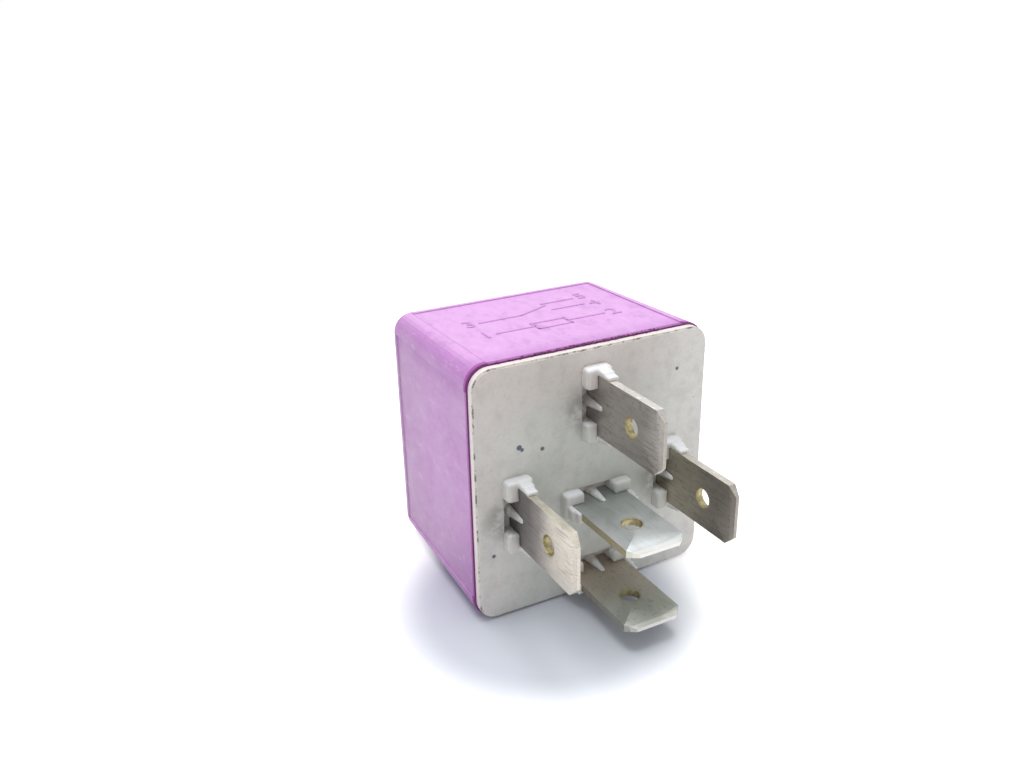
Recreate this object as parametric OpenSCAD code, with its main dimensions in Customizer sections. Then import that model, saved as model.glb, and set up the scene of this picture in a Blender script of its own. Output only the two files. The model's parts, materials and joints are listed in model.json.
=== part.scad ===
// Changeover relay in a cube case with five flat plug-in blades.
// X runs across the base, Y runs from the blade tips into the case and Z is up.
// The part lies on one side of its cover. The origin is under the middle of its box.

/* [Cover] */
// Width of the cover at its open rim
cover_w = 26.6; // [24:0.1:34]
// Height of the cover at its open rim
cover_h = 27; // [24.2:0.1:34]
// Depth of the body from the base's face to the closed end
body_d = 20.9; // [18.5:0.1:30]
// Thickness of the cover's walls
cover_wall = 1; // [0.7:0.1:1.1]
// How far each side wall leans in towards the closed end
draft_depth = 0.45; // [0.2:0.05:0.6]
// Rounding of the edges round the closed end
cover_edge_r = 1.5; // [0.8:0.1:2]
// Rounding of the four long corners at the rim
cover_corner_r = 2.2; // [1.6:0.1:2.6]
// Distance from a long corner to the sunk panel in a side
panel_margin = 2.4; // [2.2:0.1:5]
// Distance from the closed end to the sunk panel in a side
panel_end = 1.9; // [1.6:0.1:5]
// Depth of the sunk panels
panel_sink = 0.12; // [0.06:0.02:0.3]

/* [Base] */
// Thickness of the flange that shows outside the cover
flange_t = 0.8; // [0.5:0.1:1.2]
// How far the flange stays inside the cover's outline
flange_inset = 0.2; // [0:0.05:0.4]
// Open joint between the flange and the cover's rim
rim_gap = 0.25; // [0.1:0.05:0.4]
// Thickness of the whole base
base_t = 3; // [2.6:0.1:3.6]
// Clearance between the base's plug and the cover
plug_gap = 0.15; // [0.1:0.01:0.3]
// Height of the raised field on the base's face
field_h = 0.12; // [0.05:0.01:0.3]
// Border left round the raised field
field_border = 0.16; // [0.1:0.02:0.5]
// Height of the ribs that guide the coil former
guide_h = 3; // [2:0.1:4]

/* [Blades] */
// Width of a blade
blade_w = 6.3; // [4.8:0.1:6.6]
// Thickness of a blade
blade_t = 0.8; // [0.6:0.05:0.9]
// Length of a blade outside the base
blade_l = 11.3; // [9:0.1:14]
// Corner cut at a blade's tip
tip_chamfer = 0.95; // [0.4:0.05:1.5]
// Length of the coined bevel at a blade's tip
tip_bevel = 0.93; // [0.4:0.01:1.5]
// Thickness left at a blade's tip
tip_t = 0.36; // [0.2:0.02:0.5]
// Radius of the detent hole in a blade
detent_r = 1; // [0.7:0.05:1.2]
// Distance of the detent hole from the blade's tip
detent_back = 4.6; // [3.5:0.1:5.5]
// How far a blade's hidden shoulders stand out on each side
shoulder_w = 0.5; // [0.3:0.05:0.6]
// Depth of the shoulders behind the base's face
shoulder_y = 1.25; // [1:0.05:1.6]
// Clearance round a blade in its slot
slot_gap = 0.05; // [0.02:0.01:0.08]

/* [Blade places] */
// Distance of the common blade from the cover's upper side
common_edge = 5.8; // [5.3:0.1:6.1]
// Distance of the coil blades from the middle
coil_blade_x = 8.7; // [8.6:0.1:9.2]
// Height of the coil blades against the middle
coil_blade_z = -2; // [-2.4:0.1:-1.6]
// Height of the break blade against the middle
break_z = -2.8; // [-3.1:0.1:-2.7]
// Distance of the make blade from the cover's lower side
make_edge = 2.6; // [2.4:0.1:2.8]

/* [Blade collars] */
// How far the collars stand out of the base's face
collar_h = 1.1; // [0.6:0.1:1.6]
// Thickness of a collar beside the blade
collar_t = 1.1; // [0.7:0.1:1.3]
// Reach of a collar from the blade's edge over its side
collar_in = 1.3; // [0.8:0.1:1.8]
// Thickness of a collar outside the blade's edge
collar_out = 0.6; // [0.4:0.05:0.8]
// Length of the tapered rib along the blade's edge
rib_l = 2.9; // [1.8:0.1:4]
// Length of the tapered peg on the blade's side
peg_l = 2; // [1.2:0.1:3]
// Radius of that peg at its root
peg_r = 0.65; // [0.4:0.05:0.7]
// Depth of the relief between the two collars
relief_d = 0.9; // [0.5:0.1:1.1]

/* [Magnet] */
// Share of the room inside the winding's rim that the iron core takes
core_share = 0.567; // [0.5:0.001:0.62]
// How far the pole head stands out round the iron core
pole_step = 1.75; // [1:0.05:2]
// Thickness of the core's pole head
pole_t = 1.2; // [0.8:0.1:1.4]
// Wall of the coil former
former_wall = 0.8; // [0.6:0.05:0.9]
// How much wider than high the coil former is, on each side
former_side = 0.3; // [0.1:0.05:0.5]
// Height of the former's cheeks above the winding
winding_rim = 0.2; // [0.1:0.05:0.5]
// Thickness of the yoke
yoke_t = 1.5; // [1.2:0.1:1.6]
// How far the yoke and the armature stay inside the former's sides
yoke_inset = 0.2; // [0.1:0.05:1]
// Room between the yoke's back and the cover
back_room = 2.3; // [1.8:0.1:2.6]

/* [Armature and contacts] */
// Thickness of the armature
armature_t = 1.2; // [0.9:0.1:1.3]
// Thickness of the contact spring
spring_t = 0.2; // [0.12:0.02:0.25]
// Width of the contact spring over the armature
spring_w = 8; // [6:0.1:9.5]
// Width of the contact spring's finger
finger_w = 3.4; // [3.2:0.1:4]
// Travel of the moving contact
contact_travel = 0.8; // [0.4:0.05:0.9]
// Radius of the contact heads
contact_r = 1.5; // [1.2:0.05:1.6]
// Thickness of the contact heads
contact_t = 0.5; // [0.3:0.05:0.5]
// Width of the arms that hold the fixed contacts
arm_w = 3.4; // [3.2:0.1:3.4]
// Room between the contacts and the make blade's strip
contact_room = 0.5; // [0.4:0.05:0.7]
// Room between the break contact's tail and the cover's closed end
end_room = 1.1; // [0.8:0.05:1.3]

/* [Resistor] */
// Radius of the suppression resistor
resistor_r = 1.2; // [0.9:0.05:1.3]
// Length of the suppression resistor
resistor_l = 6.4; // [5:0.1:8]
// Radius of its lead wires
resistor_lead_r = 0.3; // [0.2:0.02:0.35]
// Radius of the coil's wire ends
coil_lead_r = 0.15; // [0.08:0.01:0.2]
// Room between the resistor and the coil former
coil_room = 1; // [0.8:0.05:1.2]

/* [Hidden] */
$fn = 64;
eps = 0.01;

// Clearances
seat_gap = 0.02;      // parts that rest on each other
bore_gap = 0.05;      // a round part in its hole
touch_gap = 0.03;     // closed contacts
pole_gap = 0.05;      // armature against pole head and yoke when closed
side_gap = 0.15;      // parts that stand beside each other
foot_gap = 0.05;      // stamped feet over the base
overrun = 1;          // how far a cut runs past the surface

// The part's place: the middle of its box in Y, its lower side in Z
face_y = (blade_l - body_d) / 2;
mid_z = cover_h / 2;
rim_y = flange_t + rim_gap;
corner_share = 0.8;   // how much of the wall the inner corners lose
least_r = 0.3;        // smallest corner at the closed end

// Blade heights against the middle
common_z = mid_z - common_edge;
make_z = make_edge - mid_z;

// Heights from the lower side up: contacts, armature's nose, resistor
nose_room = 1.2;
nose_rise = 0.1;
contact_z = make_z + blade_t / 2 + contact_room + arm_w / 2;
nose_end = contact_z + arm_w / 2 + nose_room;
resistor_z = nose_end - nose_rise;

// Heights from the upper side down: yoke's back, former, core
back_out = mid_z - cover_wall - back_room;
back_z = back_out - yoke_t;
former_top = back_z - side_gap - bore_gap;
former_low = resistor_z + resistor_r + coil_room;
former_h = former_top - former_low;
former_w = former_h + 2 * former_side;
yoke_w = former_w - 2 * yoke_inset;
core_z = (former_top + former_low) / 2;
winding_r = former_h / 2 - winding_rim;
core_r = core_share * (winding_r - former_wall - bore_gap);
pole_r = core_r + pole_step;
strip_room = 0.9;
leg_low = break_z + blade_t / 2 + strip_room;
foot_step = 0.75;
core_foot_r = core_r - foot_step;
yoke_bend_r = 0.1;
cheek_r = 1;

// Travel of the armature
hinge_z = back_z + yoke_t / 2;
heel_r = 0.5;
heel_end = hinge_z + heel_r;
arm_reach = hinge_z - contact_z;
open_deg = asin(contact_travel / arm_reach);
head_h = armature_t + seat_gap + spring_t + contact_t;
head_rise = head_h * cos(open_deg) + contact_r * sin(open_deg) + contact_travel;

// Places along Y, measured inward from the base's face: from the closed end back to the pole
tail_t = 0.3;
bend_r = 1;
root_w = arm_w + 1;   // strips are wider where they leave a blade
break_arm_y = body_d - cover_wall - end_room - tail_t - blade_t / 2;
break_face = break_arm_y - blade_t / 2 - contact_t;
hinge_y = break_face - touch_gap - head_rise;
yoke_end = hinge_y - pole_gap;
pole_y = yoke_end - pole_t;
former_end = pole_y - bore_gap;

// From the base up to the winding
leg_y = base_t + yoke_t;
former_y = leg_y + bore_gap;
winding_y = former_y + former_wall;
winding_l = former_end - former_wall - winding_y;

// Armature in its closed place
hinge = [hinge_y, hinge_z];
spring_mid = hinge_y + armature_t + seat_gap + spring_t / 2;
contact_shank_r = contact_r / 2;
tail_step = 0.3;
tail_r = contact_r - tail_step;
make_face = spring_mid - spring_t / 2 - contact_t - touch_gap;
make_arm_y = make_face - contact_t - blade_t / 2;

// Guide ribs on the base, and the break terminal's way round the contacts
guide_t = 0.8;
guide_step = 1;
guide_x = former_w / 2 + side_gap;
break_leg_x = guide_x + guide_t + foot_gap + blade_t / 2;
foot_y = base_t + foot_gap + blade_t / 2;

// Collars round the blades
collar_r = 0.35;      // rounding of a collar's corners
collar_far = 0.25;    // thickness on the blade's other side
collar_grip = 0.2;    // how far a collar reaches over the blade's edge
rib_nose = 0.2;
rib_tip = 0.12;
peg_tip_r = 0.28;

// Coil tabs and resistor
resistor_lift = 4.4;
cap_step = 0.17;
cap_l = 1.8;
resistor_y = base_t + resistor_lift;
tab_top = resistor_y + resistor_r;
tab_low = resistor_z - 2 * resistor_lead_r;
tab_high = former_low - side_gap;
tab_root = leg_low - side_gap;
wire_in = 0.4;
wire_rise = 0.6;
wire_drop = 0.6;
wire_y = winding_y + wire_in;
wire_angle = 45;

// Rivets
rivet_r = 0.6;
rivet_head_r = 1.1;
rivet_head_t = 0.35;
rivet_side = 2.4;
rivet_down = 4;
rivet_back = 1;
rivet_short = 0.1;    // a rivet ends this far inside the armature's face
armature_rivet_z = hinge_z - rivet_down;
RIVETS_X = [-rivet_side, rivet_side];
yoke_rivet_y = winding_y + winding_l / 2 + rivet_back;

// Contact spring's loop over the heel and its end on the yoke
spring_tip = 0.2;
spring_tail = 2;
spring_low_y = yoke_rivet_y - spring_tail;
loop_in = 0.35;
loop_up = 0.55;
loop_rise = 0.7;
loop_run = 1.4;

// Stake that joins the common terminal to the yoke
stake_over = 1;
stake_under = 0.5;
stake_low = core_z + core_foot_r + stake_over;
stake_high = back_z - stake_under;

// Blades as [x, z, turn about Y]
COMMON = [0, common_z, 0];
COIL_R = [coil_blade_x, coil_blade_z, 0];
COIL_L = [-coil_blade_x, coil_blade_z, 0];
BREAK = [0, break_z, 90];
MAKE = [0, make_z, 90];
BLADES = [COMMON, COIL_R, COIL_L, BREAK, MAKE];

// ---- Helpers ----

// Corner arc of a rounded outline
function arc(c, r, a0, a1, n) = [for (k = [0:n]) let (a = a0 + (a1 - a0) * k / n) c + r * [cos(a), sin(a)]];

// Rectangle of w by h with corners of radius r, each drawn in n steps
function rounded(w, h, r, n = 8) = concat(
    arc([w / 2 - r, h / 2 - r], r, 0, 90, n),
    arc([-w / 2 + r, h / 2 - r], r, 90, 180, n),
    arc([-w / 2 + r, -h / 2 + r], r, 180, 270, n),
    arc([w / 2 - r, -h / 2 + r], r, 270, 360, n)
);

function unit(v) = v / norm(v);
function side(v) = [-v[1], v[0]];
function leg_side(p, i) = side(unit(p[i + 1] - p[i]));

// Sideways step at point i of a path, so that both legs keep the same thickness
function mitre(p, i) =
    i == 0 ? leg_side(p, 0) :
    i == len(p) - 1 ? leg_side(p, i - 1) :
    let (a = leg_side(p, i - 1), b = leg_side(p, i)) (a + b) / (1 + a * b);

// Outline of a strip of thickness t along a path
function strip(p, t) = concat(
    [for (i = [0:len(p) - 1]) p[i] + mitre(p, i) * t / 2],
    [for (i = [len(p) - 1:-1:0]) p[i] - mitre(p, i) * t / 2]
);

// Point p turned by a degrees about c
function turned(p, c, a) = c + [
    (p[0] - c[0]) * cos(a) - (p[1] - c[1]) * sin(a),
    (p[0] - c[0]) * sin(a) + (p[1] - c[1]) * cos(a)
];

// Moves a part from its own middle to its place in the relay
module placed() {
    translate([0, face_y, mid_z]) children();
}

module at_blade(p) {
    translate([p[0], 0, p[1]]) rotate([0, p[2], 0]) children();
}

// Outline in X and Z, pushed from y0 to y1
module slab(points, y0, y1) {
    translate([0, y1, 0]) rotate([90, 0, 0]) linear_extrude(y1 - y0) polygon(points);
}

// Outline in Y and Z, w wide across X
module across(points, w) {
    rotate([90, 0, 90]) linear_extrude(w, center = true) polygon(points);
}

module block(low, high) {
    translate(low) cube(high - low);
}

// Round bar along Y
module bar(r, y0, y1) {
    translate([0, y1, 0]) rotate([90, 0, 0]) cylinder(h = y1 - y0, r = r);
}

// Hole along Y for a rivet of radius r, through a sheet that lies at y
module rivet_hole(x, z, r, y) {
    translate([x, 0, z]) bar(r + seat_gap, y - overrun, y + overrun);
}

// Opens the armature by the travel of the contacts
module opened() {
    translate([0, hinge_y, hinge_z]) rotate([open_deg, 0, 0]) translate([0, -hinge_y, -hinge_z]) children();
}

// ---- Cover ----

// Drafted box with a rounded closed end, inset all round by t
module cover_form(t, y0, edge_r) {
    lean = draft_depth / (body_d - rim_y);
    w = cover_w - 2 * t;
    h = cover_h - 2 * t;
    end = body_d - t;
    corner = cover_corner_r - t * corner_share;
    hull() {
        slab(rounded(w, h, corner), y0, y0 + eps);
        for (a = [0:15:90]) {
            y = end - edge_r * (1 - sin(a));
            in = edge_r * (1 - cos(a)) + lean * (y - rim_y);
            slab(rounded(w - 2 * in, h - 2 * in, max(corner - in / 2, least_r)), y - eps, y);
        }
    }
}

// Thin wedge that sinks a panel into the side of half-width half
module panel_cut(half, length) {
    lean = draft_depth / (body_d - rim_y);
    y1 = body_d - panel_end;
    points = [
        [rim_y - overrun, half + lean * overrun - panel_sink],
        [y1, half - lean * (y1 - rim_y) - panel_sink],
        [y1 + overrun, half + overrun],
        [rim_y - overrun, half + overrun]
    ];
    across(points, length - 2 * panel_margin);
}

module cover() {
    color("mediumorchid") placed() difference() {
        cover_form(0, rim_y, cover_edge_r);
        cover_form(cover_wall, rim_y - overrun, cover_edge_r - cover_wall / 2);
        panel_cut(cover_h / 2, cover_w);
        for (turn = [-90, 90]) rotate([0, turn, 0]) panel_cut(cover_w / 2, cover_h);
    }
}

// ---- Base ----

// Slot for a blade with the pocket for its shoulders
module blade_slot() {
    half = blade_t / 2 + slot_gap;
    reach = blade_w / 2 + slot_gap;
    block([-half, -rib_l - overrun, -reach], [half, base_t + overrun, reach]);
    wide = reach + shoulder_w;
    block([-half, shoulder_y - slot_gap, -wide], [half, base_t + overrun, wide]);
}

// Relief in the face between a blade's two collars
module relief() {
    reach = blade_w / 2 - collar_in;
    block([-blade_t / 2 - collar_t, -field_h - eps, -reach], [0, relief_d, reach]);
}

// Hook-shaped collar and tapered rib at one edge of a blade
module collar() {
    edge = blade_w / 2;
    side_x = -blade_t / 2 - collar_t;
    far_x = blade_t / 2 + collar_far;
    low = edge - collar_in;
    top = edge + collar_out;
    inner = edge - collar_grip;
    r = collar_r;
    hook = concat(
        arc([side_x + r, low + r], r, 270, 180, 4),
        arc([side_x + r, top - r], r, 180, 90, 4),
        arc([far_x - r, top - r], r, 90, 0, 4),
        [[far_x, inner], [0, inner], [0, low]]
    );
    slab(hook, -collar_h, flange_t);
    rib = [
        [flange_t, inner], [flange_t, top], [-collar_h, top],
        [-rib_l + rib_nose, edge + 2 * rib_tip], [-rib_l, edge + rib_tip], [-rib_l, inner]
    ];
    translate([(far_x - blade_t / 2) / 2, 0, 0]) across(rib, far_x + blade_t / 2);
}

// Tapered peg that leans on the blade's side
module peg() {
    translate([-blade_t / 2, relief_d + eps, 0]) rotate([90, 0, 0])
        cylinder(h = relief_d + peg_l - peg_tip_r, r1 = peg_r, r2 = peg_tip_r);
    translate([-blade_t / 2, peg_tip_r - peg_l, 0]) sphere(peg_tip_r);
}

module base() {
    flange_w = cover_w - 2 * flange_inset;
    flange_h = cover_h - 2 * flange_inset;
    flange_r = cover_corner_r - flange_inset;
    field = 2 * field_border;
    plug = 2 * (cover_wall + plug_gap);
    plug_r = cover_corner_r - cover_wall;
    color("ivory") placed() difference() {
        union() {
            difference() {
                union() {
                    slab(rounded(flange_w - field, flange_h - field, flange_r - field_border), 0, flange_t);
                    slab(rounded(flange_w, flange_h, flange_r), field_h, flange_t);
                    slab(rounded(cover_w - plug, cover_h - plug, plug_r), flange_t - eps, base_t);
                    for (s = [-1, 1]) {
                        x = s * (guide_x + guide_t / 2);
                        low = [x - guide_t / 2, base_t - eps, leg_low + guide_step];
                        block(low, [x + guide_t / 2, base_t + guide_h, back_z]);
                    }
                    for (p = BLADES) at_blade(p) {
                        collar();
                        mirror([0, 0, 1]) collar();
                    }
                }
                for (p = BLADES) at_blade(p) relief();
            }
            for (p = BLADES) at_blade(p) peg();
        }
        for (p = BLADES) at_blade(p) blade_slot();
    }
}

// ---- Blades and terminals ----

// Flat plug-in blade with coined tip, detent hole and hidden shoulders, standing in Y and Z
module blade() {
    edge = blade_w / 2;
    wide = edge + shoulder_w;
    cut = blade_l - tip_chamfer;
    outline = [
        [base_t, -wide], [shoulder_y, -wide], [shoulder_y, -edge], [-cut, -edge],
        [-blade_l, tip_chamfer - edge], [-blade_l, edge - tip_chamfer],
        [-cut, edge], [shoulder_y, edge], [shoulder_y, wide], [base_t, wide]
    ];
    half = blade_t / 2;
    coin = tip_bevel - blade_l;
    section = [
        [half, base_t], [-half, base_t], [-half, coin],
        [-tip_t / 2, -blade_l], [tip_t / 2, -blade_l], [half, coin]
    ];
    difference() {
        intersection() {
            across(outline, blade_t);
            linear_extrude(2 * blade_w, center = true) polygon(section);
        }
        translate([-blade_t, detent_back - blade_l, 0]) rotate([0, 90, 0])
            cylinder(h = 2 * blade_t, r = detent_r);
    }
}

// Common terminal, staked into the yoke's foot
module terminal_30() {
    color("darkgray") placed() {
        at_blade(COMMON) blade();
        block([-blade_t / 2, base_t - eps, stake_low], [blade_t / 2, leg_y, stake_high]);
    }
}

// Coil terminal: an inner tab on a wide root holds the coil's wire and the resistor
module coil_terminal(p) {
    color("darkgray") placed() {
        at_blade(p) blade();
        tab = [
            [base_t, tab_low], [tab_top, tab_low], [tab_top, tab_high],
            [leg_y, tab_high], [leg_y, tab_root], [base_t, tab_root]
        ];
        translate([p[0], 0, 0]) across(tab, blade_t);
    }
}

module terminal_85() {
    coil_terminal(COIL_R);
}

module terminal_86() {
    coil_terminal(COIL_L);
}

// Make terminal: its strip rises behind the contacts and carries the make contact
module terminal_87() {
    corner = [make_arm_y - bend_r, make_z + bend_r];
    path = concat(
        [[base_t - eps, make_z]],
        arc(corner, bend_r, -90, 0, 6),
        [[make_arm_y, contact_z + arm_w / 2]]
    );
    color("darkgray") placed() difference() {
        union() {
            at_blade(MAKE) blade();
            across(strip(path, blade_t), root_w);
        }
        rivet_hole(0, contact_z, contact_shank_r, make_arm_y);
    }
}

// Break terminal: its strip runs along the base, up beside the coil and over the contacts
module terminal_87a() {
    turn = [foot_y - bend_r, break_z - bend_r];
    foot = concat(
        [[foot_y - 2 * bend_r, break_z]],
        arc(turn, bend_r, 90, 0, 6),
        [[foot_y, contact_z]]
    );
    lower = [break_leg_x - bend_r, foot_y + bend_r];
    upper = [break_leg_x - bend_r, break_arm_y - bend_r];
    leg = concat(
        [[-arm_w / 2, foot_y]],
        arc(lower, bend_r, -90, 0, 6),
        arc(upper, bend_r, 0, 90, 6),
        [[-arm_w / 2, break_arm_y]]
    );
    color("lightsteelblue") placed() difference() {
        union() {
            at_blade(BREAK) blade();
            intersection() {
                across(strip(foot, blade_t), root_w);
                block([-blade_w, base_t, -cover_h], [blade_w, body_d, 0]);
            }
            low = [-root_w / 2, shoulder_y, break_z - blade_t / 2];
            block(low, [root_w / 2, foot_y, break_z + blade_t / 2]);
            translate([0, 0, contact_z]) linear_extrude(arm_w, center = true) polygon(strip(leg, blade_t));
        }
        rivet_hole(0, contact_z, contact_shank_r, break_arm_y);
    }
}

// ---- Magnet ----

// Bent iron yoke: a foot under the coil and a back leg that ends in the armature's seat
module yoke() {
    mid_y = base_t + yoke_t / 2;
    r = yoke_t / 2 + yoke_bend_r;
    corner = [mid_y + r, hinge_z - r];
    path = concat([[mid_y, leg_low]], arc(corner, r, 180, 90, 6), [[yoke_end, hinge_z]]);
    color("silver") placed() difference() {
        across(strip(path, yoke_t), yoke_w);
        translate([0, 0, core_z]) bar(core_foot_r + seat_gap, base_t - overrun, leg_y + overrun);
        translate([0, hinge_y, hinge_z]) rotate([0, 90, 0])
            cylinder(h = 2 * yoke_w, r = heel_r + bore_gap, center = true);
        stake_half = blade_t / 2 + seat_gap;
        low = [-stake_half, base_t - overrun, stake_low - seat_gap];
        block(low, [stake_half, leg_y + overrun, stake_high + seat_gap]);
        for (x = RIVETS_X) translate([x, yoke_rivet_y, back_z - overrun])
            cylinder(h = yoke_t + 2 * overrun, r = rivet_r + seat_gap);
    }
}

// Turned iron core with a foot through the yoke and a wide pole head
module core() {
    color("gainsboro") placed() translate([0, 0, core_z]) {
        bar(core_foot_r, base_t, leg_y + eps);
        bar(core_r, leg_y, yoke_end - eps);
        bar(pole_r, pole_y, yoke_end);
    }
}

// Moulded coil former: a tube between two square cheeks
module coil_former() {
    color("dimgray") placed() translate([0, 0, core_z]) difference() {
        union() {
            bar(core_r + bore_gap + former_wall, former_y, former_end);
            for (y = [former_y, former_end - former_wall])
                slab(rounded(former_w, former_h, cheek_r), y, y + former_wall);
        }
        bar(core_r + bore_gap, former_y - overrun, former_end + overrun);
    }
}

module coil_winding() {
    color("chocolate") placed() translate([0, 0, core_z]) difference() {
        bar(winding_r, winding_y + seat_gap, winding_y + winding_l - seat_gap);
        bar(core_r + bore_gap + former_wall + seat_gap, former_y, former_end);
    }
}

// Wire end from the winding to a coil terminal, s = 1 for the right one
module coil_lead(s) {
    start = [winding_r * cos(wire_angle), wire_y, core_z - winding_r * sin(wire_angle)];
    out = start + [coil_lead_r, 0, -coil_lead_r];
    end = [coil_blade_x - blade_t / 2 - seat_gap, wire_y + wire_rise, tab_high - wire_drop];
    way = end - out;
    color("peru") placed() mirror([s > 0 ? 0 : 1, 0, 0]) translate(out) {
        sphere(coil_lead_r);
        rotate([0, acos(way[2] / norm(way)), atan2(way[1], way[0])])
            cylinder(h = norm(way) - coil_lead_r, r = coil_lead_r);
    }
}

module coil_lead_85() {
    coil_lead(1);
}

module coil_lead_86() {
    coil_lead(-1);
}

// ---- Armature and contacts ----

// Rivet along Y with its grip from y0 to y1, a head of radius r over y1 and a tail under y0
module rivet(shank_r, r, head_t, tail_r, tail, y0, y1) {
    bar(shank_r, y0 - eps, y1 + eps);
    bar(r, y1, y1 + head_t);
    if (tail > 0) bar(tail_r, y0 - tail, y0);
}

// Hinged armature plate with a round heel that rocks in the yoke's groove
module armature() {
    mid = (heel_end + nose_end) / 2;
    color("silver") placed() opened() difference() {
        union() {
            translate([0, 0, mid])
                slab(rounded(yoke_w, heel_end - nose_end, cheek_r), hinge_y, hinge_y + armature_t);
            translate([0, hinge_y, hinge_z]) rotate([0, 90, 0])
                cylinder(h = yoke_w - 2 * cheek_r, r = heel_r, center = true);
        }
        for (x = RIVETS_X) rivet_hole(x, armature_rivet_z, rivet_r, hinge_y + armature_t / 2);
    }
}

// Leaf spring: riveted to the armature, bent over the heel and riveted to the yoke's back
module contact_spring() {
    back = back_out + seat_gap + spring_t / 2;
    tip = turned([spring_mid, contact_z - contact_r - spring_tip], hinge, open_deg);
    nose = turned([spring_mid, nose_end], hinge, open_deg);
    heel = turned([spring_mid, heel_end + heel_r], hinge, open_deg);
    over = [
        heel,
        heel + [-loop_in, loop_up],
        [yoke_end, back + loop_rise],
        [yoke_end - loop_run, back],
        [spring_low_y, back]
    ];
    color("goldenrod") placed() difference() {
        union() {
            across(strip([tip, nose, heel], spring_t), finger_w);
            across(strip(concat([nose], over), spring_t), spring_w);
        }
        opened() {
            rivet_hole(0, contact_z, contact_shank_r, spring_mid);
            for (x = RIVETS_X) rivet_hole(x, armature_rivet_z, rivet_r, spring_mid);
        }
        for (x = RIVETS_X) translate([x, yoke_rivet_y, back - overrun])
            cylinder(h = 2 * overrun, r = rivet_r + seat_gap);
    }
}

module armature_rivets() {
    top = spring_mid + spring_t / 2 + seat_gap;
    color("lightgray") placed() opened()
        for (x = RIVETS_X) translate([x, 0, armature_rivet_z])
            rivet(rivet_r, rivet_head_r, rivet_head_t, 0, 0, hinge_y + rivet_short, top);
}

module yoke_rivets() {
    top = back_out + 2 * seat_gap + spring_t;
    color("lightgray") placed()
        for (x = RIVETS_X) translate([x, yoke_rivet_y, 0]) rotate([90, 0, 0])
            rivet(rivet_r, rivet_head_r, rivet_head_t, 0, 0, back_z, top);
}

// Double contact in the spring's finger
module moving_contact() {
    low = spring_mid - spring_t / 2;
    color("whitesmoke") placed() opened() translate([0, 0, contact_z])
        rivet(contact_shank_r, contact_r, contact_t, contact_r, contact_t, low, low + spring_t);
}

module make_contact() {
    low = make_arm_y - blade_t / 2;
    color("whitesmoke") placed() translate([0, 0, contact_z])
        rivet(contact_shank_r, contact_r, contact_t, tail_r, tail_t, low, low + blade_t);
}

module break_contact() {
    high = break_arm_y + blade_t / 2;
    color("whitesmoke") placed() translate([0, 0, contact_z]) mirror([0, 1, 0])
        rivet(contact_shank_r, contact_r, contact_t, tail_r, tail_t, -high, blade_t - high);
}

// ---- Suppression resistor across the coil ----

module resistor_body() {
    color("lightskyblue") placed() translate([0, resistor_y, resistor_z]) rotate([0, 90, 0]) {
        cylinder(h = resistor_l, r = resistor_r - cap_step, center = true);
        for (s = [-1, 1]) translate([0, 0, s * (resistor_l - cap_l) / 2])
            cylinder(h = cap_l, r = resistor_r, center = true);
    }
}

module resistor_leads() {
    from = resistor_l / 2;
    to = coil_blade_x - blade_t / 2 - seat_gap;
    color("silver") placed() for (s = [-1, 1])
        translate([s * (from + to) / 2, resistor_y, resistor_z]) rotate([0, 90, 0])
            cylinder(h = to - from, r = resistor_lead_r, center = true);
}

cover();
base();
terminal_30();
terminal_85();
terminal_86();
terminal_87();
terminal_87a();
yoke();
core();
coil_former();
coil_winding();
coil_lead_85();
coil_lead_86();
armature();
contact_spring();
armature_rivets();
yoke_rivets();
moving_contact();
make_contact();
break_contact();
resistor_body();
resistor_leads();
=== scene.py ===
"""Looks of the changeover relay: camera, studio, materials and fine relief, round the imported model."""

import json
import math
import random

import bmesh
import bpy
from mathutils import Matrix, Vector


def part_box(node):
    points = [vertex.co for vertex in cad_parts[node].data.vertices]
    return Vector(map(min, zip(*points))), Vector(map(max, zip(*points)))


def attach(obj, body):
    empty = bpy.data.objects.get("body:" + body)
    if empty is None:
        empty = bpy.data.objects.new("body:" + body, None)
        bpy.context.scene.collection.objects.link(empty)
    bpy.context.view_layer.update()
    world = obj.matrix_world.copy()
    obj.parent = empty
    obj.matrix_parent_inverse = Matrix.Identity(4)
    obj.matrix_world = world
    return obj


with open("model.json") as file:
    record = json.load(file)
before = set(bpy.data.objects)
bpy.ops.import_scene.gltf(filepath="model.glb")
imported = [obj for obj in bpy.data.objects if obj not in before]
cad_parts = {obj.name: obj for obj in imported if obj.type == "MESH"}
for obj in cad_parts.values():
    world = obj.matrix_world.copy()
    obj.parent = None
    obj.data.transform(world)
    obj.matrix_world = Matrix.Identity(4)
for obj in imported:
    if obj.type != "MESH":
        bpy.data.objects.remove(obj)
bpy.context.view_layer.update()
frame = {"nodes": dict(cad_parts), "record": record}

MM = 0.001
NODES = frame["nodes"]
MOUNTS = {m["name"]: m for m in frame["record"]["mounts"]}

# The body's main planes, in millimetres in the row frame
COVER_LOW, COVER_HIGH = (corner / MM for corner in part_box("cover"))
RIM_Y = COVER_LOW.y
END_Y = COVER_HIGH.y
TOP_Z = COVER_HIGH.z
MID_Z = (COVER_LOW.z + COVER_HIGH.z) / 2
RIM_GAP = 0.25
FLANGE_T = 0.8
FACE_Y = RIM_Y - RIM_GAP - FLANGE_T
PANEL_SINK = 0.12
PANEL_MARGIN = 2.4
PANEL_LEAN = math.atan(0.45 / (END_Y - RIM_Y))
BLADE_W = 6.3
BLADE_T = 0.8
DETENT_BACK = 4.6
TIP_BEVEL = 0.93
HOLE_R = 1.0
STROKE_W = 0.3
STROKE_H = 0.05
DIGIT_SIZE = 2.7

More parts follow.
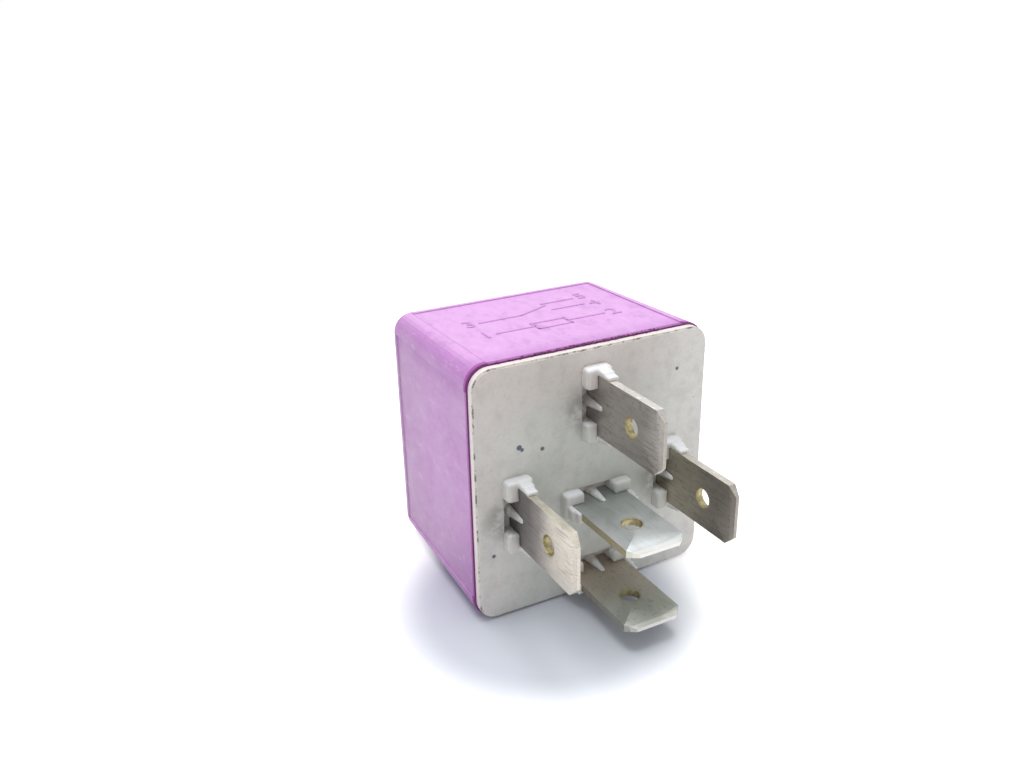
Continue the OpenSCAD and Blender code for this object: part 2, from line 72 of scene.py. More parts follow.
# Light on the object, and the floor's painted shadow: where it is centred and how far out it stays, in
# metres
WORLD_LIGHT = 0.6
KEY_LIGHT = 1.55
SHADOW_CENTRE = (-0.006, -0.005, 0)
SHADOW_NEAR = 0.011
SHADOW_FAR = 0.020
FLOOR_GLOW = 0.6

# Faces of one curved surface meet at more than FLAT_TURN and less than CURVE_TURN
SAME_SPOT = 1e-6
FLAT_TURN = math.radians(0.4)
CURVE_TURN = math.radians(32)

# Where the mounts put the middle of each blade's hole
BLADES = {
    name: Vector(MOUNTS["detent_" + name]["pos_m"]) / MM
    for name in ("30", "85", "86", "87a", "87")
}


# ---- Camera ----


def camera():
    """The photograph's view of the relay."""
    data = bpy.data.cameras.new("camera")
    data.sensor_width = 36
    data.lens = 33.385
    data.clip_start = 0.005
    data.clip_end = 20
    found = bpy.data.objects.new("camera", data)
    found.location = Vector((-45.4, -75.85, 58.09)) * MM
    found.rotation_euler = [math.radians(a) for a in (67.438, 1.227, -27.636)]
    bpy.context.scene.collection.objects.link(found)
    bpy.context.scene.camera = found


# ---- Node trees ----


class Paint:
    """One material's node tree, worked in millimetres of the row frame."""

    def __init__(self, name):
        self.material = bpy.data.materials.new(name)
        self.material.use_nodes = True
        self.tree = self.material.node_tree
        self.shader = self.tree.nodes["Principled BSDF"]
        coordinates = self.add("ShaderNodeTexCoord")
        scaled = self.add("ShaderNodeVectorMath", operation="SCALE")
        scaled.inputs["Scale"].default_value = 1 / MM
        self.link(coordinates.outputs["Object"], scaled.inputs[0])
        self.place = scaled.outputs[0]
        split = self.add("ShaderNodeSeparateXYZ")
        self.link(self.place, split.inputs[0])
        self.x, self.y, self.z = split.outputs
        geometry = self.add("ShaderNodeNewGeometry")
        normal = self.add("ShaderNodeSeparateXYZ")
        self.link(geometry.outputs["True Normal"], normal.inputs[0])
        self.nx, self.ny, self.nz = normal.outputs

    def add(self, kind, **settings):
        node = self.tree.nodes.new(kind)
        for name, value in settings.items():
            setattr(node, name, value)
        return node

    def link(self, source, target):
        self.tree.links.new(source, target)

    def put(self, socket, value):
        """Links a socket's output, or sets a constant."""
        if isinstance(value, bpy.types.NodeSocket):
            self.link(value, socket)
        else:
            socket.default_value = value

    def math(self, operation, *values, clamp=False):
        node = self.add("ShaderNodeMath", operation=operation, use_clamp=clamp)
        for socket, value in zip(node.inputs, values):
            self.put(socket, value)
        return node.outputs[0]

    def smooth(self, value, low, high, out_low=0.0, out_high=1.0):
        """The value from low to high, as a soft step from out_low to out_high."""
        node = self.add("ShaderNodeMapRange", interpolation_type="SMOOTHSTEP")
        for name, number in (
            ("Value", value),
            ("From Min", low),
            ("From Max", high),
            ("To Min", out_low),
            ("To Max", out_high),
        ):
            self.put(node.inputs[name], number)
        return node.outputs[0]

    def band(self, value, middle, half, soft):
        """1 within half of middle, falling to 0 over soft."""
        off = self.math("ABSOLUTE", self.math("SUBTRACT", value, middle))
        return self.smooth(off, half, half + soft, 1.0, 0.0)

    def noise(self, size, detail=3.0, rough=0.55, stretch=(1, 1, 1), seed=0.0):
        """Soft noise whose features are size mm across, times stretch along each axis."""
        mapping = self.add("ShaderNodeMapping")
        self.link(self.place, mapping.inputs["Vector"])
        mapping.inputs["Scale"].default_value = [1 / (size * s) for s in stretch]
        node = self.add("ShaderNodeTexNoise", noise_dimensions="4D")
        self.link(mapping.outputs[0], node.inputs["Vector"])
        node.inputs["W"].default_value = seed
        node.inputs["Scale"].default_value = 1
        node.inputs["Detail"].default_value = detail
        node.inputs["Roughness"].default_value = rough
        return node.outputs["Fac"]

    def cells(self, size, stretch=(1, 1, 1), seed=0.0):
        """Distance to scattered points that lie about size mm apart."""
        mapping = self.add("ShaderNodeMapping")
        self.link(self.place, mapping.inputs["Vector"])
        mapping.inputs["Scale"].default_value = [1 / (size * s) for s in stretch]
        node = self.add("ShaderNodeTexVoronoi", voronoi_dimensions="4D")
        self.link(mapping.outputs[0], node.inputs["Vector"])
        node.inputs["W"].default_value = seed
        node.inputs["Scale"].default_value = 1
        return node.outputs["Distance"]

    def mix(self, share, first, second):
        """Colour from first to second by share."""
        node = self.add("ShaderNodeMix", data_type="RGBA")
        self.put(node.inputs[0], share)
        self.put(node.inputs[6], first)
        self.put(node.inputs[7], second)
        return node.outputs[2]

    def near(self, point, radius, soft):
        """1 within radius of a point, falling to 0 over soft."""
        node = self.add("ShaderNodeVectorMath", operation="DISTANCE")
        self.link(self.place, node.inputs[0])
        node.inputs[1].default_value = point
        return self.smooth(node.outputs["Value"], radius, radius + soft, 1.0, 0.0)

    def bump(self, height, depth):
        """Relief in the shading: height from 0 to 1 stands for depth mm."""
        node = self.add("ShaderNodeBump")
        node.inputs["Strength"].default_value = 1
        node.inputs["Distance"].default_value = depth * MM
        self.link(height, node.inputs["Height"])
        previous = self.shader.inputs["Normal"].links
        if previous:
            self.link(previous[0].from_socket, node.inputs["Normal"])
        self.link(node.outputs[0], self.shader.inputs["Normal"])

    def set(self, **values):
        """Sets the shader's sockets: base_color=..., roughness=..."""
        for name, value in values.items():
            self.put(self.shader.inputs[name.replace("_", " ").title().replace("Ior", "IOR")], value)
        return self.material


def paint(node, material):
    """Gives a CAD node's mesh one material."""
    mesh = NODES[node].data
    mesh.materials.clear()
    mesh.materials.append(material)


# ---- Materials ----

# VIOLET_TOP is the painted light of the lit top; VIOLET_DEEP and VIOLET_GREY carry painted shade, and
# VIOLET_DEEP the scuffs too
VIOLET = (0.50, 0.255, 0.54, 1)
VIOLET_TOP = (0.69, 0.375, 0.73, 1)
VIOLET_DEEP = (0.40, 0.145, 0.45, 1)
VIOLET_GREY = (0.41, 0.26, 0.41, 1)
VIOLET_RIM = (0.27, 0.03, 0.26, 1)


def cover_plastic(name="cover_plastic", deep=0.0):
    """Violet moulded plastic with scuffs, grain and specks: painted lighter on top, with painted shade low
    on its sides, greyer at the back, below its rounded top edges, on its rounded corners and along its rim;
    by deep, darker all over as painted shade.
    """
    p = Paint(name)
    cloud = p.noise(5, detail=5, rough=0.62)
    scuff = p.noise(1.1, detail=4, rough=0.7, stretch=(1, 1.6, 1), seed=7)
    grain = p.noise(0.16, detail=2, rough=0.7)
    side = p.smooth(p.nz, 0.3, 0.9, 1.0, 0.0)
    low = p.smooth(p.z, 3, 15, 1.0, 0.0)
    front = p.smooth(p.y, RIM_Y, RIM_Y + 9, 1.0, 0.0)
    back = p.smooth(p.y, RIM_Y + 7, END_Y, 0.0, 1.0)
    # Painted light: the top faces are lighter than the sides, as if lit from above; the cloud adds a little
    # random tone
    top_light_and_mottle = p.math("MULTIPLY_ADD", p.smooth(p.nz, 0.3, 0.9), 0.8, p.smooth(cloud, 0.35, 0.7, 0.0, 0.2))
    colour = p.mix(top_light_and_mottle, VIOLET, VIOLET_TOP)
    # Painted shade: the sides are darker low down toward the front, and greyer toward the back
    colour = p.mix(p.math("MULTIPLY", side, p.math("MULTIPLY", low, front)), colour, VIOLET_DEEP)
    colour = p.mix(p.math("MULTIPLY", p.math("MULTIPLY", side, back), 0.55), colour, VIOLET_GREY)
    # Painted shade: a darker band on the sides, about 2.8 mm below the top, under the rounded top edge
    shoulder = p.band(p.z, TOP_Z - 2.8, 0.5, 1.0)
    colour = p.mix(p.math("MULTIPLY", p.math("MULTIPLY", shoulder, side), 0.6), colour, VIOLET_DEEP)
    # Painted shade: the rounded edges, half-way between top and side, are darker
    corner = p.band(p.nz, 0.6, 0.15, 0.3)
    colour = p.mix(p.math("MULTIPLY", corner, 0.7), colour, VIOLET_DEEP)
    # Painted shade: the lower sides greyer still
    colour = p.mix(p.math("MULTIPLY", p.math("MULTIPLY", side, low), 0.45), colour, VIOLET_GREY)
    on_border = p.band(p.x, COVER_LOW.x + PANEL_MARGIN, 0.03, 0.06)
    border = p.math("MULTIPLY", on_border, p.smooth(p.nz, 0.8, 0.9))
    colour = p.mix(p.math("MULTIPLY", border, 0.8), colour, VIOLET_RIM)
    edge = p.math("MULTIPLY", p.smooth(p.nz, 0.7, 0.95), p.smooth(p.y, RIM_Y + 0.4, RIM_Y + 3.2, 1.0, 0.0))
    colour = p.mix(p.math("MULTIPLY", edge, 0.5), colour, VIOLET_DEEP)
    colour = p.mix(p.smooth(scuff, 0.48, 0.68, 0.0, 0.42), colour, VIOLET_DEEP)
    colour = p.mix(p.smooth(scuff, 0.30, 0.46, 0.35, 0.0), colour, (0.74, 0.50, 0.76, 1))
    colour = p.mix(p.smooth(grain, 0.35, 0.7, 0.0, 0.2), colour, (0.74, 0.47, 0.78, 1))
    specks = p.smooth(p.cells(2.6, seed=4), 0.035, 0.075, 1.0, 0.0)
    colour = p.mix(p.math("MULTIPLY", specks, 0.55), colour, (0.16, 0.07, 0.15, 1))
    # Painted shade: a dark, ragged band along the cover's rim at its joint with the base
    ragged = p.math("SUBTRACT", p.math("MULTIPLY_ADD", scuff, 0.3, p.y), p.math("MULTIPLY", p.nz, 0.16))
    rim = p.smooth(ragged, RIM_Y + 0.38, RIM_Y + 0.58, 1.0, 0.0)
    colour = p.mix(p.math("MULTIPLY", rim, 0.8), colour, VIOLET_RIM)
    # Painted shade: by the share deep the colour goes darker all over, for strokes that look sunk
    if deep:
        colour = p.mix(deep, colour, VIOLET_DEEP)
    p.bump(grain, 0.018)
    p.bump(scuff, 0.03)
    return p.set(base_color=colour, roughness=p.smooth(cloud, 0.3, 0.7, 0.40, 0.56), specular_ior_level=0.4)


def base_plastic():
    """Ivory moulded plastic: painted light and shade on its face, painted lighter and bluer where the
    collars face up, dirty at the flange's step, darker beside the blades' roots.
    """
    p = Paint("base_plastic")
    cloud = p.noise(6, detail=4, seed=3)
    grain = p.noise(0.2, detail=2, seed=5)
    smear = p.noise(1.6, detail=5, rough=0.65, seed=9)
    # Painted light over the ivory's own mottled tone: greyer in the middle as painted shade, pinker toward
    # the left and the top as painted violet reflection, lighter toward the right as painted light
    middle = p.mix(p.smooth(cloud, 0.3, 0.7), (0.58, 0.60, 0.56, 1), (0.66, 0.665, 0.63, 1))
    left = p.smooth(p.x, -13, -6, 1.0, 0.0)
    high = p.smooth(p.z, MID_Z + 5, TOP_Z - 1, 0.0, 1.0)
    right = p.smooth(p.x, 4, 12.5)
    colour = p.mix(p.math("MULTIPLY", left, 0.8), middle, (0.72, 0.68, 0.66, 1))
    colour = p.mix(p.math("MULTIPLY", high, 0.8), colour, (0.70, 0.63, 0.595, 1))
    colour = p.mix(p.math("MULTIPLY", right, 0.85), colour, (0.83, 0.81, 0.78, 1))
    colour = p.mix(p.smooth(smear, 0.42, 0.72, 0.0, 0.3), colour, (0.40, 0.39, 0.36, 1))
    out = p.smooth(p.y, FACE_Y - 0.5, FACE_Y - 0.15, 1.0, 0.0)
    up = p.smooth(p.nz, 0.25, 0.85, 0.0, 1.0)
    colour = p.mix(p.math("MULTIPLY", out, 0.4), colour, (0.66, 0.65, 0.62, 1))
    # Painted highlight: faces standing in front of the base's face that look up are lighter and bluer, as
    # if lit from above
    colour = p.mix(p.math("MULTIPLY", p.math("MULTIPLY", out, up), 0.8), colour, (0.82, 0.845, 0.89, 1))
    border = p.smooth(p.y, FACE_Y + 0.07, FACE_Y + 0.10)
    colour = p.mix(p.math("MULTIPLY", border, 0.85), colour, (0.78, 0.72, 0.69, 1))
    dashes = p.smooth(p.noise(0.9, detail=3, rough=0.7, seed=12), 0.48, 0.62)
    dirt = p.math("MULTIPLY", p.band(p.y, FACE_Y + 0.08, 0.035, 0.025), dashes)
    colour = p.mix(p.math("MULTIPLY", dirt, 0.85), colour, (0.15, 0.12, 0.10, 1))
    # Darker, blotchy patches beside the roots of blades 30, 85 and 86
    for name in ("30", "85", "86"):
        hole = BLADES[name]
        root = p.near((hole.x - 1.4, FACE_Y, hole.z - 0.4), 0.7, 2.4)
        root = p.math("MULTIPLY", root, p.smooth(smear, 0.36, 0.56, 0.1, 0.7))
        colour = p.mix(root, colour, (0.25, 0.24, 0.22, 1))
    # Painted shade: a darker patch on the base's face, right of the middle and below it
    shade_spot = p.near((3.6, FACE_Y, MID_Z - 3.5), 1.5, 5)
    colour = p.mix(p.math("MULTIPLY", shade_spot, 0.35), colour, (0.38, 0.40, 0.37, 1))
    grains = p.smooth(p.cells(1.9, seed=21), 0.03, 0.06, 1.0, 0.0)
    colour = p.mix(p.math("MULTIPLY", grains, 0.5), colour, (0.20, 0.19, 0.17, 1))
    for x, z, radius in BASE_MARKS:
        mark = p.near((x, FACE_Y, MID_Z + z), radius, 0.12)
        colour = p.mix(p.math("MULTIPLY", mark, p.smooth(smear, 0.36, 0.46)), colour, (0.09, 0.11, 0.16, 1))
    speckle = p.noise(0.35, detail=3, rough=0.7, seed=30)
    colour = p.mix(p.smooth(speckle, 0.45, 0.75, 0.0, 0.22), colour, (0.42, 0.41, 0.37, 1))
    p.bump(grain, 0.012)
    p.bump(smear, 0.02)
    return p.set(
        base_color=colour,
        roughness=p.smooth(cloud, 0.3, 0.7, 0.36, 0.5),
        subsurface_weight=0.2,
        subsurface_radius=(1.0, 0.9, 0.75),
        subsurface_scale=0.0006,
    )


# Dark marks on the base's face, as x, height against the middle and radius
BASE_MARKS = (
    (-8.4, 4.8, 0.22),
    (-8.1, 4.5, 0.14),
    (-5.9, 4.1, 0.16),
    (9.6, 9.2, 0.12),
    (-11.4, -6.2, 0.14),
)

# Each blade's colour from root to tip, the colour of its cut edges, and how much stain it has; the colours
# are set blade by blade as painted reflection and shade over the tin's own tone
TIN_AND_SHEEN = {
    "30": ((0.42, 0.39, 0.365, 1), (0.34, 0.32, 0.30, 1), (0.86, 0.84, 0.80, 1), 0.55),
    "85": ((0.46, 0.42, 0.34, 1), (0.30, 0.275, 0.245, 1), (0.76, 0.73, 0.67, 1), 0.5),
    "86": ((0.26, 0.24, 0.235, 1), (0.62, 0.58, 0.50, 1), (0.80, 0.77, 0.65, 1), 0.35),
    "87a": ((0.46, 0.495, 0.49, 1), (0.54, 0.57, 0.575, 1), (0.48, 0.38, 0.14, 1), 0.2),
    "87": ((0.52, 0.46, 0.39, 1), (0.46, 0.48, 0.43, 1), (0.22, 0.19, 0.16, 1), 0.6),
}
BRASS = (0.50, 0.44, 0.25, 1)
SOOT = (0.045, 0.04, 0.035, 1)


def blade_metal(name, seed):
    """Dull tin over brass: streaks, stains and scratches along the blade, brass in its hole; its tones from
    root to tip, its tip's bevel and its cut edges are painted lighter or darker as reflection and shade.
    """
    p = Paint("blade_" + name)
    root, tip, edge, stained = TIN_AND_SHEEN[name]
    flat = name in ("87a", "87")
    hole = BLADES[name]
    along = p.math("SUBTRACT", p.y, hole.y - DETENT_BACK)
    streak = p.noise(0.13, detail=3, stretch=(1, 24, 1), seed=seed)
    stain = p.noise(1.8, detail=6, rough=0.65, seed=seed + 2)
    blotch = p.noise(0.5, detail=4, rough=0.7, seed=seed + 5)
    # Painted reflection and shade: the blade's tone shifts from its tip colour to its root colour, along a
    # ragged line
    tin = p.mix(p.smooth(p.math("MULTIPLY_ADD", stain, 4.5, along), 4.5, 10.5), tip, root)
    tin = p.mix(p.smooth(streak, 0.5, 0.68, 0.0, 0.12 if flat else 0.4), tin, SOOT)
    tin = p.mix(p.smooth(streak, 0.30, 0.42, 0.1 if flat else 0.2, 0.0), tin, (0.62, 0.61, 0.58, 1))
    tin = p.mix(p.smooth(blotch, 0.52, 0.75, 0.0, stained), tin, (0.10, 0.085, 0.06, 1))
    scratch = p.noise(0.16, detail=2, rough=0.6, stretch=(1, 34, 1), seed=seed + 8)
    patch = p.smooth(p.noise(2.4, detail=2, seed=seed + 9), 0.5, 0.6)
    scratched = p.math("MULTIPLY", patch, 0.4 if flat else 0.8)
    tin = p.mix(p.math("MULTIPLY", p.smooth(scratch, 0.64, 0.69), scratched), tin, SOOT)
    specks = p.smooth(p.cells(0.9, seed=seed + 3), 0.06, 0.13, 1.0, 0.0)
    tin = p.mix(p.math("MULTIPLY", specks, 0.25 + 0.4 * stained), tin, SOOT)
    # Painted reflection: the tip's bevel is lighter on the flat blades 87a and 87; on the others it is a
    # little darker, as painted shade
    bevelled = p.smooth(along, 0.5 * TIP_BEVEL, 0.6 * TIP_BEVEL, 1.0, 0.0)
    bevel_tone = (0.70, 0.69, 0.66, 1) if flat else (0.42, 0.38, 0.34, 1)
    tin = p.mix(p.math("MULTIPLY", bevelled, 0.7 if flat else 0.3), tin, bevel_tone)
    # The cut edges take each blade's listed edge colour, partly painted highlight and shade
    across = p.math("ABSOLUTE", p.nx if flat else p.nz)
    cut = p.math("MULTIPLY", p.smooth(across, 0.6, 0.85), p.smooth(blotch, 0.30, 0.5, 1.0, 0.6))
    tin = p.mix(cut, tin, edge)
    from_hole = p.add("ShaderNodeVectorMath", operation="DISTANCE")
    level = p.add("ShaderNodeCombineXYZ")
    p.link(p.y, level.inputs[1])
    if flat:
        p.link(p.x, level.inputs[0])
        from_hole.inputs[1].default_value = (hole.x, hole.y, 0)
    else:
        p.link(p.z, level.inputs[2])
        from_hole.inputs[1].default_value = (0, hole.y, hole.z)
    p.link(level.outputs[0], from_hole.inputs[0])
    worn = p.smooth(from_hole.outputs["Value"], HOLE_R + 0.05, HOLE_R + 0.3, 0.5, 0.0)
    tin = p.mix(worn, tin, (0.40, 0.33, 0.20, 1))
    wall = p.smooth(from_hole.outputs["Value"], HOLE_R + 0.01, HOLE_R + 0.05, 1.0, 0.0)
    tin = p.mix(wall, tin, p.mix(p.smooth(blotch, 0.35, 0.75), BRASS, (0.20, 0.165, 0.09, 1)))
    p.bump(streak, 0.010)
    p.bump(scratch, 0.012)
    p.bump(blotch, 0.012)
    rough = p.smooth(stain, 0.3, 0.7, 0.5, 0.34)
    return p.set(base_color=tin, metallic=0.85, roughness=rough)


def plain_metal(name, colour, dark, rough=0.35, size=1.5):
    """Hidden sheet or turned metal: fine marks over slow tone changes."""
    p = Paint(name)
    cloud = p.noise(size, detail=4)
    lines = p.noise(0.15, detail=2, stretch=(1, 12, 1))
    p.bump(lines, 0.01)
    return p.set(
        base_color=p.mix(cloud, dark, colour),
        metallic=1.0,
        roughness=p.smooth(cloud, 0.3, 0.7, rough, rough + 0.15),
    )


def plain_plastic(name, colour, dark, rough=0.5):
    """Hidden moulded plastic or lacquer."""
    p = Paint(name)
    cloud = p.noise(2.5, detail=4)
    grain = p.noise(0.18, detail=2)
    p.bump(grain, 0.01)
    return p.set(
        base_color=p.mix(cloud, dark, colour),
        roughness=p.smooth(cloud, 0.3, 0.7, rough, rough + 0.12),
    )


def winding_copper():
    """Turns of enamelled wire: fine grooves round the coil."""
    p = Paint("enamelled_copper")
    turns = p.math("SINE", p.math("MULTIPLY", p.y, 2 * math.pi / 0.12))
    cloud = p.noise(1.5, detail=3)
    p.bump(p.math("MULTIPLY_ADD", turns, 0.5, 0.5), 0.03)
    return p.set(
        base_color=p.mix(cloud, (0.36, 0.11, 0.045, 1), (0.52, 0.19, 0.08, 1)),
        metallic=0.6,
        roughness=p.smooth(cloud, 0.3, 0.7, 0.28, 0.4),
    )


def crumb_dirt():
    """Dark dust that has gathered in the joint."""
    p = Paint("joint_dirt")
    cloud = p.noise(0.3, detail=3)
    return p.set(base_color=p.mix(cloud, (0.05, 0.015, 0.045, 1), (0.20, 0.035, 0.17, 1)), roughness=0.85)


# ---- Studio ----


def seen_by(tree, *rays):
    """1 for the named kinds of ray, 0 for the light that falls on the object."""
    path = tree.nodes.new("ShaderNodeLightPath")
    found = path.outputs[rays[0]]
    for ray in rays[1:]:
        most = tree.nodes.new("ShaderNodeMath")
        most.operation = "MAXIMUM"
        tree.links.new(found, most.inputs[0])
        tree.links.new(path.outputs[ray], most.inputs[1])
        found = most.outputs[0]
    return found


def studio():
    """White floor and surroundings, soft light from above and a little from behind; round the relay the
    floor has a painted shadow, darker and bluer with no glow.
    """
    scene = bpy.context.scene
    scene.view_settings.view_transform = "Standard"
    world = bpy.data.worlds.new("studio")
    scene.world = world
    world.use_nodes = True
    nodes, links = world.node_tree.nodes, world.node_tree.links
    strength = nodes.new("ShaderNodeMapRange")
    strength.inputs["To Min"].default_value = WORLD_LIGHT
    strength.inputs["To Max"].default_value = 1.0
    seen = seen_by(world.node_tree, "Is Camera Ray", "Is Glossy Ray", "Is Transmission Ray")
    links.new(seen, strength.inputs["Value"])
    nodes["Background"].inputs["Color"].default_value = (1, 1, 1, 1)
    links.new(strength.outputs[0], nodes["Background"].inputs["Strength"])

    bpy.ops.mesh.primitive_circle_add(vertices=96, radius=3, fill_type="NGON")
    floor = bpy.context.object
    floor.name = "floor"
    material = bpy.data.materials.new("floor")
    material.use_nodes = True
    tree = material.node_tree
    shader = tree.nodes["Principled BSDF"]
    shader.inputs["Roughness"].default_value = 0.9
    shader.inputs["Specular IOR Level"].default_value = 0.1
    place = tree.nodes.new("ShaderNodeTexCoord")
    # Painted shadow: near the relay the floor's colour is darker and bluer
    away = tree.nodes.new("ShaderNodeVectorMath")
    away.operation = "DISTANCE"
    away.inputs[1].default_value = SHADOW_CENTRE
    tree.links.new(place.outputs["Object"], away.inputs[0])
    lift = tree.nodes.new("ShaderNodeMapRange")
    lift.interpolation_type = "SMOOTHSTEP"
    spread = (("From Min", SHADOW_NEAR), ("From Max", SHADOW_FAR), ("To Min", 0.0), ("To Max", FLOOR_GLOW))
    for name, value in spread:
        lift.inputs[name].default_value = value
    tree.links.new(away.outputs["Value"], lift.inputs["Value"])
    tone = tree.nodes.new("ShaderNodeValToRGB")
    tone.color_ramp.elements[0].color = (0.60, 0.63, 0.70, 1)
    tone.color_ramp.elements[1].color = (0.84, 0.85, 0.87, 1)
    tone.color_ramp.elements[1].position = 0.6
    tree.links.new(lift.outputs[0], tone.inputs["Fac"])
    tree.links.new(tone.outputs["Color"], shader.inputs["Base Color"])
    # Painted shadow: the glow for camera and glossy rays fades out near the relay
    shown = tree.nodes.new("ShaderNodeMath")
    shown.operation = "MULTIPLY"
    tree.links.new(lift.outputs[0], shown.inputs[0])
    tree.links.new(seen_by(tree, "Is Camera Ray", "Is Glossy Ray"), shown.inputs[1])
    shader.inputs["Emission Color"].default_value = (1, 1, 1, 1)
    tree.links.new(shown.outputs[0], shader.inputs["Emission Strength"])
    floor.data.materials.append(material)

    lamp("key", (-0.02, 0.045, 0.45), 0.36, KEY_LIGHT)


def lamp(name, place, size, power):
    """Round soft light that looks at the middle of the relay."""
    data = bpy.data.lights.new(name, "AREA")
    data.shape = "DISK"
    data.size = size
    data.energy = power
    found = bpy.data.objects.new(name, data)
    found.location = place
    aim = Vector((0, 0, MID_Z * MM)) - found.location
    found.rotation_euler = aim.to_track_quat("-Z", "Y").to_euler()
    bpy.context.scene.collection.objects.link(found)


# ---- Dressing the nodes ----


def curved_faces(mesh):
    """The faces that meet a neighbour at a slight angle, and so belong to a curved surface."""
    spots = [tuple(round(c / SAME_SPOT) for c in vert.co) for vert in mesh.vertices]
    meeting = {}
    for face in mesh.polygons:
        for a, b in face.edge_keys:
            meeting.setdefault(frozenset((spots[a], spots[b])), []).append(face)
    found = set()
    for faces in meeting.values():
        if len(faces) == 2 and FLAT_TURN < faces[0].normal.angle(faces[1].normal, 0) < CURVE_TURN:
            found.update(face.index for face in faces)
    return found


def soften(node, width, angle=35):
    """Rounds a node's sharp edges a little, and shades only its curved surfaces smooth."""
    o = NODES[node]
    curved = curved_faces(o.data)
    for face in o.data.polygons:
        face.use_smooth = face.index in curved
    weld = o.modifiers.new("weld", "WELD")
    weld.merge_threshold = SAME_SPOT
    bevel = o.modifiers.new("bevel", "BEVEL")
    bevel.width = width * MM
    bevel.segments = 2
    bevel.limit_method = "ANGLE"
    bevel.angle_limit = math.radians(angle)
    bevel.harden_normals = True


# ---- Pieces of the scene ----


def piece(name, mesh, material):
    """A mesh of the scene that stays with the case."""
    mesh.materials.append(material)
    for face in mesh.polygons:
        face.use_smooth = True
    found = bpy.data.objects.new(name, mesh)
    bpy.context.scene.collection.objects.link(found)
    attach(found, "case")
    return found


def soft_box(bm, low, high, radius):
    """Adds a box with rounded edges to bm, from low to high."""
    low, high = Vector(low), Vector(high)
    place = Matrix.Translation((low + high) / 2) @ Matrix.Diagonal((*(high - low), 1))
    made = bmesh.ops.create_cube(bm, size=1, matrix=place)
    edges = {edge for vert in made["verts"] for edge in vert.link_edges}
    radius = min(radius, 0.49 * min(high - low))
    bmesh.ops.bevel(bm, geom=list(edges), offset=radius, segments=4, profile=0.5, affect="EDGES")


def soft_collars(material):
    """The moulded hooks round the blades' edges: a block, a pad and a stepped rib, melted together."""
    half = BLADE_T / 2
    edge = BLADE_W / 2
    for name, hole in BLADES.items():
        turn = Matrix.Rotation(math.radians(90), 4, "Y") if name in ("87a", "87") else Matrix()
        for way in (1, -1):
            bm = bmesh.new()
            soft_box(bm, (-1.62, -1.22, edge - 1.42), (-half + 0.03, 0.3, edge + 0.76), 0.42)
            soft_box(bm, (-1.3, -1.22, edge - 0.04), (half + 0.85, 0.3, edge + 0.78), 0.4)
            soft_box(bm, (half - 0.03, -1.3, edge - 0.4), (half + 0.85, 0.3, edge + 0.7), 0.4)
            soft_box(bm, (-half - 0.06, -2.2, edge - 0.05), (half + 0.5, 0.3, edge + 0.62), 0.3)
            soft_box(bm, (-half - 0.04, -2.98, edge - 0.05), (half + 0.36, 0.2, edge + 0.40), 0.2)
            bmesh.ops.scale(bm, vec=(1, 1, way), verts=bm.verts)
            if way < 0:
                bmesh.ops.reverse_faces(bm, faces=bm.faces)
            place = Matrix.Translation((hole.x, FACE_Y, hole.z)) @ turn
            bmesh.ops.transform(bm, matrix=Matrix.Scale(MM, 4) @ place, verts=bm.verts)
            mesh = bpy.data.meshes.new("collar")
            bm.to_mesh(mesh)
            bm.free()
            end = "high" if way > 0 else "low"
            found = piece("collar_%s_%s" % (name, end), mesh, material)
            melt = found.modifiers.new("melt", "REMESH")
            melt.mode = "VOXEL"
            melt.voxel_size = 0.06 * MM
            melt.use_smooth_shade = True
            ease = found.modifiers.new("ease", "SMOOTH")
            ease.factor = 0.5
            ease.iterations = 14


def joint_crumbs(material):
    """Dust grains along the top of the open joint."""
    rng = random.Random(5)
    bm = bmesh.new()
    for _ in range(260):
        x = rng.triangular(-11, 9, -1)
        place = Vector((x, RIM_Y + rng.uniform(-0.25, 0.2), TOP_Z - PANEL_SINK - 0.04))
        made = bmesh.ops.create_icosphere(bm, subdivisions=1, radius=rng.uniform(0.05, 0.13))
        for vert in made["verts"]:
            vert.co *= rng.uniform(0.7, 1.2)
            vert.co.x *= 1.6
            vert.co = (vert.co + place) * MM
    mesh = bpy.data.meshes.new("joint_crumbs")
    bm.to_mesh(mesh)
    bm.free()
    piece("joint_crumbs", mesh, material)


# The symbol's strokes in millimetres, from the middle of the top panel: a coil beside a changeover switch
STROKES = (
    ((-6.2, -2.6), (-1.9, -2.6)), ((1.9, -2.6), (6.2, -2.6)),
    ((-1.9, -3.5), (1.9, -3.5)), ((1.9, -3.5), (1.9, -1.7)),
    ((1.9, -1.7), (-1.9, -1.7)), ((-1.9, -1.7), (-1.9, -3.5)),
    ((-6.2, 1.4), (-1.4, 1.4)), ((-1.4, 1.4), (2.3, 3.1)),
    ((2.4, 1.4), (6.2, 1.4)), ((2.4, 3.8), (6.2, 3.8)),
)
DIGITS = (("1", -7.4, -2.6), ("2", 7.4, -2.6), ("3", -7.4, 1.4), ("4", 7.4, 1.2), ("5", 7.4, 4.1))


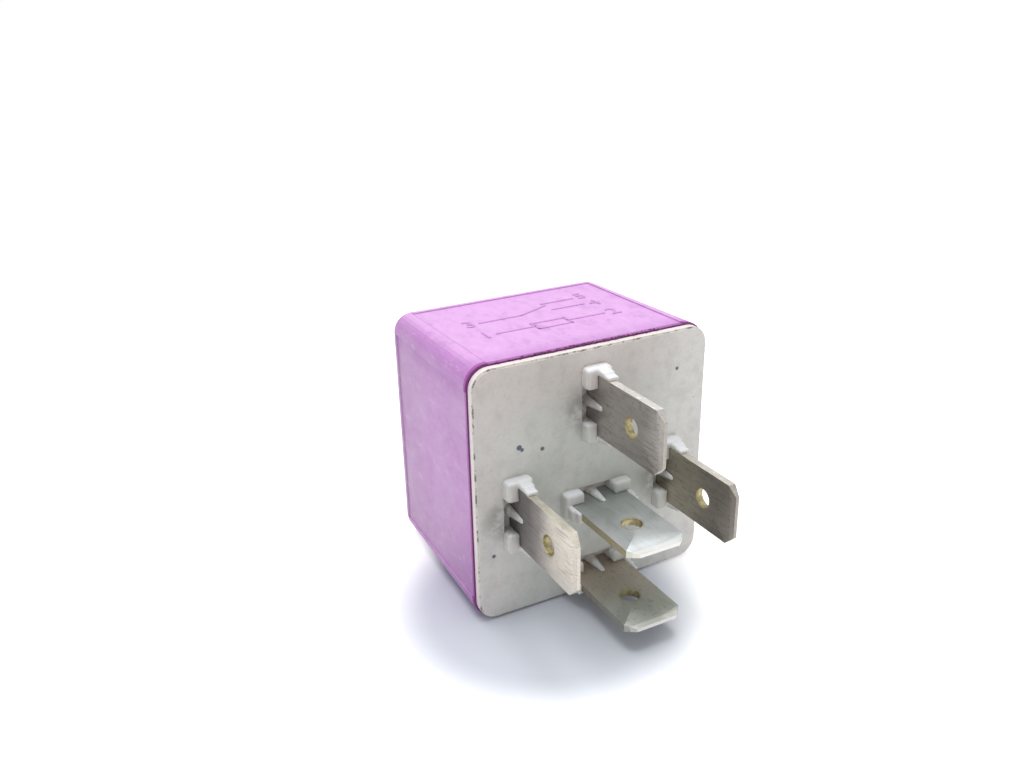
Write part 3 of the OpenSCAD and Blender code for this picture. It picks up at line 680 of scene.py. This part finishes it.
def top_symbol(material):
    """A plain wiring symbol with the numbers of its ends, standing up a little from the top panel."""
    face_z = TOP_Z - PANEL_SINK
    middle_y = (RIM_Y + END_Y) / 2
    lean = Matrix.Rotation(-PANEL_LEAN, 4, "X")
    place = Matrix.Translation((0, middle_y, face_z - math.tan(PANEL_LEAN) * (middle_y - RIM_Y))) @ lean
    bm = bmesh.new()
    for (x0, y0), (x1, y1) in STROKES:
        along = Vector((x1 - x0, y1 - y0, 0))
        angle = math.atan2(along.y, along.x)
        size = Matrix.Diagonal((along.length + STROKE_W, STROKE_W, 2 * STROKE_H, 1))
        at = Matrix.Translation(((x0 + x1) / 2, (y0 + y1) / 2, 0)) @ Matrix.Rotation(angle, 4, "Z")
        bmesh.ops.create_cube(bm, size=1, matrix=Matrix.Scale(MM, 4) @ place @ at @ size)
    mesh = bpy.data.meshes.new("top_symbol")
    bm.to_mesh(mesh)
    bm.free()
    found = piece("top_symbol", mesh, material)
    bevel = found.modifiers.new("bevel", "BEVEL")
    bevel.width = 0.6 * STROKE_H * MM
    bevel.segments = 2
    for number, x, y in DIGITS:
        text = bpy.data.curves.new("digit_" + number, "FONT")
        text.body = number
        text.size = DIGIT_SIZE * MM
        text.align_x = "CENTER"
        text.align_y = "CENTER"
        text.extrude = STROKE_H * MM
        text.materials.append(material)
        digit = bpy.data.objects.new("digit_" + number, text)
        bpy.context.scene.collection.objects.link(digit)
        at = Matrix.Translation((x, y, 0))
        placed = place @ at
        digit.matrix_world = Matrix.Translation(placed.translation * MM) @ lean
        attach(digit, "case")


camera()
studio()

paint("cover", cover_plastic())
ivory = base_plastic()
paint("base", ivory)
for at, name in enumerate(BLADES):
    paint("terminal_" + name, blade_metal(name, 10 * at))
iron = plain_metal("zinc_iron", (0.62, 0.62, 0.60, 1), (0.50, 0.50, 0.49, 1))
for name in ("yoke", "core", "armature"):
    paint(name, iron)
paint("coil_former", plain_plastic("former_plastic", (0.07, 0.07, 0.075, 1), (0.045, 0.045, 0.05, 1)))
copper = winding_copper()
for name in ("coil_winding", "coil_lead_85", "coil_lead_86"):
    paint(name, copper)
paint("contact_spring", plain_metal("spring_bronze", (0.72, 0.50, 0.27, 1), (0.60, 0.40, 0.20, 1), 0.28))
steel = plain_metal("rivet_metal", (0.66, 0.65, 0.62, 1), (0.52, 0.51, 0.49, 1))
for name in ("armature_rivets", "yoke_rivets", "resistor_leads"):
    paint(name, steel)
silver = plain_metal("contact_silver", (0.86, 0.85, 0.82, 1), (0.70, 0.69, 0.66, 1), 0.25, 0.8)
for name in ("moving_contact", "make_contact", "break_contact"):
    paint(name, silver)
paint("resistor_body", plain_plastic("resistor_coat", (0.35, 0.52, 0.62, 1), (0.28, 0.44, 0.54, 1), 0.35))

for name in NODES:
    soften(name, 0.06)

soft_collars(ivory)
joint_crumbs(crumb_dirt())
# The symbol's strokes take the cover's material, painted half-way darker as painted shade
top_symbol(cover_plastic("cover_relief", 0.5))
